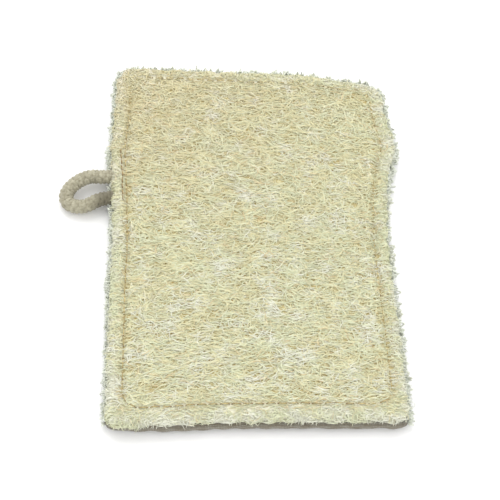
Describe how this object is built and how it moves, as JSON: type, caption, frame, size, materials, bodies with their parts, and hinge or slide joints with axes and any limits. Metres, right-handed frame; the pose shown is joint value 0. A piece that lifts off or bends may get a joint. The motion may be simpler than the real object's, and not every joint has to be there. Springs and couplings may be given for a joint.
{
  "type": "loofah back scrubber",
  "caption": "Flat rectangular loofah scrubbing pad with a cotton terry back, topstitched edges and a braided cord hanging loop.",
  "frame": {"origin": "middle of the flat back face that the pad rests on", "axes": "+Z out of the loofah face, +Y along the pad's length, -X towards the edge with the hanging loop"},
  "size_m": [0.1288, 0.15, 0.009],
  "materials": {
    "loofah": "matt matted plant fibre, straw cream",
    "terry": "matt looped cotton pile, off-white",
    "sponge": "matt open-cell foam",
    "tan_thread": "matt spun thread, tan",
    "cream_thread": "matt spun thread, cream",
    "cord": "matt braided cotton, undyed"
  },
  "bodies": {
    "pad": {"terry_back": "terry", "sponge_liner": "sponge", "loofah_face": "loofah", "edge_seam_thread": "cream_thread", "topstitch_needle_thread": "tan_thread", "topstitch_bobbin_thread": "cream_thread", "loop_end_upper": "cord", "loop_end_lower": "cord", "loop_tack_thread": "tan_thread"},
    "loop": {"hanging_loop": "cord"}
  },
  "joints": [
    {"name": "loop_swing", "type": "hinge", "parent": "pad", "child": "loop", "pos_m": [-0.059, 0.01925, 0.0045], "axis": [0, 1, 0], "range_deg": [-90, 95]}
  ]
}
